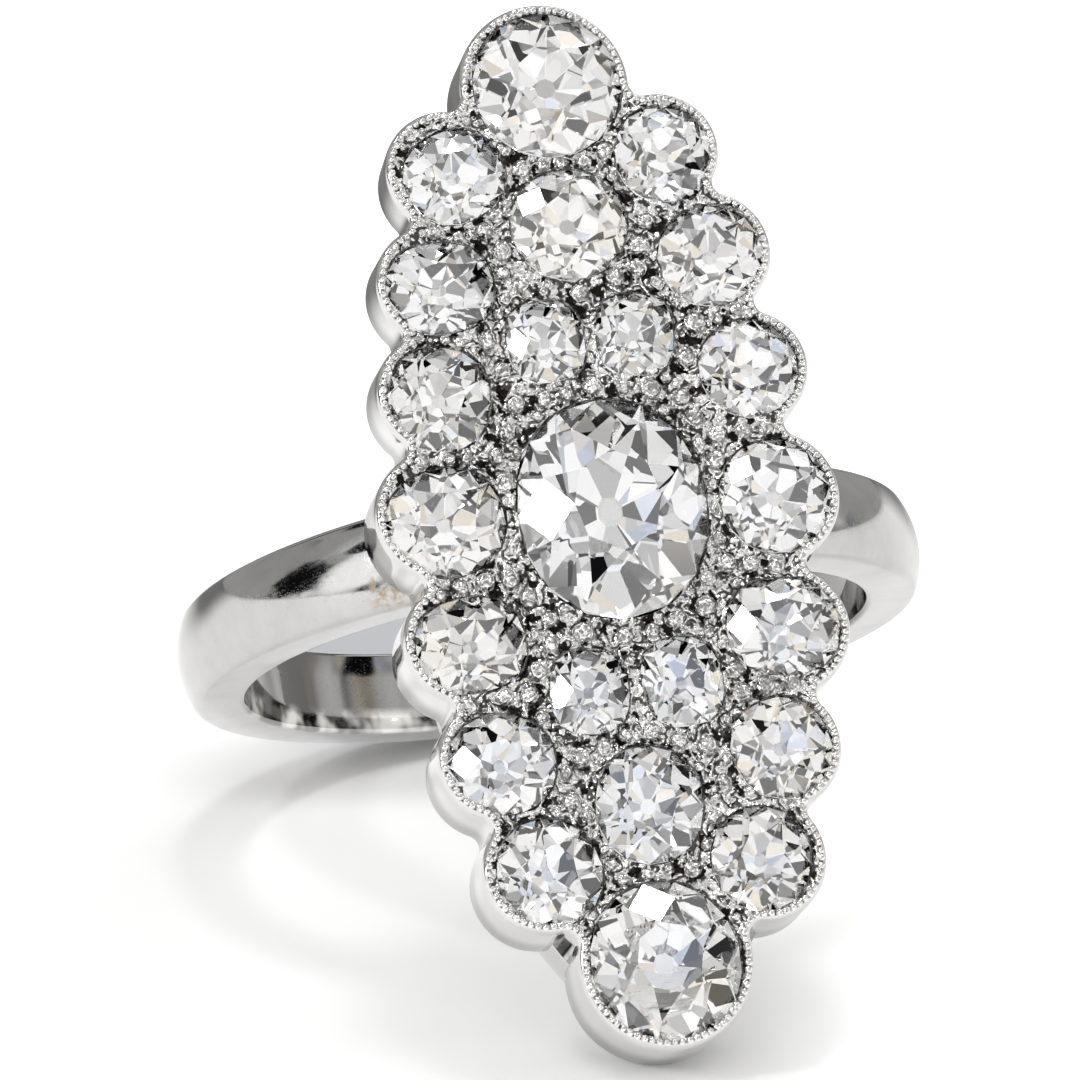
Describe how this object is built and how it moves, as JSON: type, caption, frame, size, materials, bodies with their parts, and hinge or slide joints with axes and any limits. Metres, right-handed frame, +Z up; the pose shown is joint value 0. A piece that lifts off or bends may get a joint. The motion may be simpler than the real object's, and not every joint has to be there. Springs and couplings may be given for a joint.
{
  "type": "navette_ring",
  "caption": "Platinum navette ring, its long scalloped head paved with old-cut diamonds, lying on its side.",
  "frame": {"origin": "middle of the footprint on the table", "axes": "X right, Y away from the viewer (the way the finger hole opens at the back), Z up"},
  "size_m": [0.021, 0.0275, 0.0248],
  "materials": {
    "metal": "polished, with a darkened, textured bed between the stones",
    "stones": "clear, faceted"
  },
  "bodies": {
    "root": {"ring_mount": "metal", "centre_stone": "stones", "upper_tip_stone": "stones", "lower_tip_stone": "stones", "left_stone_1": "stones", "left_stone_2": "stones", "left_stone_3": "stones", "left_stone_4": "stones", "left_stone_5": "stones", "left_stone_6": "stones", "left_stone_7": "stones", "right_stone_1": "stones", "right_stone_2": "stones", "right_stone_3": "stones", "right_stone_4": "stones", "right_stone_5": "stones", "right_stone_6": "stones", "right_stone_7": "stones", "upper_round_stone": "stones", "lower_round_stone": "stones", "small_stone_1": "stones", "small_stone_2": "stones", "small_stone_3": "stones", "small_stone_4": "stones"}
  },
  "joints": []
}
